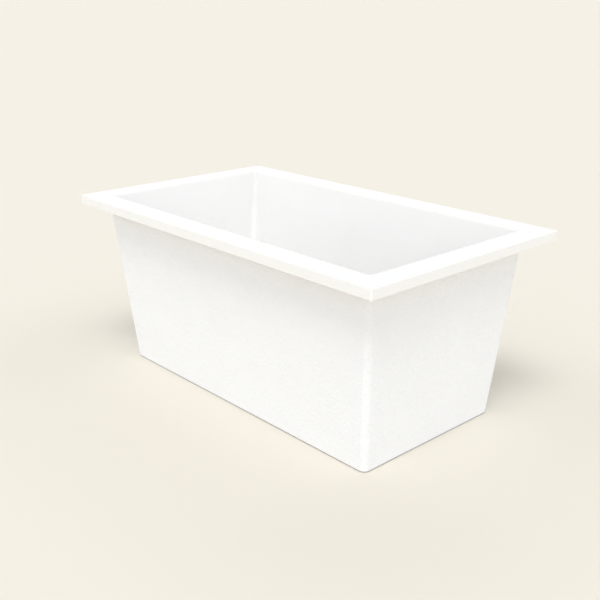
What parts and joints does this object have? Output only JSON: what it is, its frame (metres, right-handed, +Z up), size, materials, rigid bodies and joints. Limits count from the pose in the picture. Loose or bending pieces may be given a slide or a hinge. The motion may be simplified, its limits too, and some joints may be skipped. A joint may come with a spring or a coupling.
{
  "type": "freestanding bathtub",
  "caption": "Rectangular freestanding bathtub with a wide flat rim, a tapered textured skirt, levelling feet, a push-to-open waste with its trap, and a slim overflow.",
  "frame": {"origin": "centre of the bounding box's underside, on the floor between the feet", "axes": "+X along the length, +Y across the width away from the overflow, +Z up"},
  "size_m": [1.5, 0.87, 0.65],
  "materials": {
    "basin_gloss": "smooth high-gloss white",
    "skirt_satin": "satin white with a fine orange-peel texture",
    "plywood": "sealed plywood",
    "chipboard": "resin-sealed board",
    "frame_paint": "black powder coat",
    "zinc": "zinc-plated steel",
    "zinc_sheet": "galvanised sheet",
    "pad_plastic": "black moulded plastic",
    "chrome_trim": "polished chrome",
    "brass_plain": "turned brass",
    "seal_rubber": "black rubber",
    "pipe_white": "moulded white plastic",
    "hose_grey": "flexible grey plastic"
  },
  "bodies": {
    "tub": {"tub_shell": "basin_gloss", "skirt": "skirt_satin", "rim_battens": "plywood", "base_boards": "chipboard", "frame_long_rails": "frame_paint", "frame_cross_rails": "frame_paint", "board_screws": "zinc", "skirt_brackets": "zinc_sheet", "bracket_screws": "zinc", "foot_inserts": "zinc", "foot_lock_nuts": "zinc", "waste_flange": "chrome_trim", "waste_top_seal": "seal_rubber", "waste_lower_seal": "seal_rubber", "plug_cartridge": "brass_plain", "trap_head": "pipe_white", "trap_ring_seal": "seal_rubber", "trap_cup": "pipe_white", "outlet_seal": "seal_rubber", "outlet_nut": "pipe_white", "outlet_elbow": "pipe_white", "overflow_cover": "chrome_trim", "overflow_screw": "chrome_trim", "overflow_flange": "chrome_trim", "overflow_seal": "seal_rubber", "overflow_body": "pipe_white", "overflow_hose": "hose_grey", "hose_clips": "zinc"},
    "plug": {"plug_stem": "brass_plain", "plug_cap": "chrome_trim", "plug_seal": "seal_rubber"},
    "foot_1_pad": {"foot_1_pad": "pad_plastic"},
    "foot_1_stud": {"foot_1_stud": "zinc"},
    "foot_2_pad": {"foot_2_pad": "pad_plastic"},
    "foot_2_stud": {"foot_2_stud": "zinc"},
    "foot_3_pad": {"foot_3_pad": "pad_plastic"},
    "foot_3_stud": {"foot_3_stud": "zinc"},
    "foot_4_pad": {"foot_4_pad": "pad_plastic"},
    "foot_4_stud": {"foot_4_stud": "zinc"}
  },
  "joints": [
    {"name": "plug_slide", "type": "slide", "parent": "tub", "child": "plug", "axis": [0, 0, 1], "range_m": [0, 0.01]},
    {"name": "foot_1_slide", "type": "slide", "parent": "tub", "child": "foot_1_pad", "axis": [0, 0, -1], "range_m": [0, 0.02]},
    {"name": "foot_1_spin", "type": "hinge", "parent": "foot_1_pad", "child": "foot_1_stud", "pos_m": [-0.41, -0.222, 0.05], "axis": [0, 0, -1], "range_deg": [0, 4120]},
    {"name": "foot_2_slide", "type": "slide", "parent": "tub", "child": "foot_2_pad", "axis": [0, 0, -1], "range_m": [0, 0.02]},
    {"name": "foot_2_spin", "type": "hinge", "parent": "foot_2_pad", "child": "foot_2_stud", "pos_m": [0.41, -0.222, 0.05], "axis": [0, 0, -1], "range_deg": [0, 4120]},
    {"name": "foot_3_slide", "type": "slide", "parent": "tub", "child": "foot_3_pad", "axis": [0, 0, -1], "range_m": [0, 0.02]},
    {"name": "foot_3_spin", "type": "hinge", "parent": "foot_3_pad", "child": "foot_3_stud", "pos_m": [0.41, 0.222, 0.05], "axis": [0, 0, -1], "range_deg": [0, 4120]},
    {"name": "foot_4_slide", "type": "slide", "parent": "tub", "child": "foot_4_pad", "axis": [0, 0, -1], "range_m": [0, 0.02]},
    {"name": "foot_4_spin", "type": "hinge", "parent": "foot_4_pad", "child": "foot_4_stud", "pos_m": [-0.41, 0.222, 0.05], "axis": [0, 0, -1], "range_deg": [0, 4120]}
  ],
  "couplings": [
    {"joint": "foot_1_spin", "follows": "foot_1_slide", "rad_per_m": 3590.4},
    {"joint": "foot_2_spin", "follows": "foot_2_slide", "rad_per_m": 3590.4},
    {"joint": "foot_3_spin", "follows": "foot_3_slide", "rad_per_m": 3590.4},
    {"joint": "foot_4_spin", "follows": "foot_4_slide", "rad_per_m": 3590.4}
  ]
}
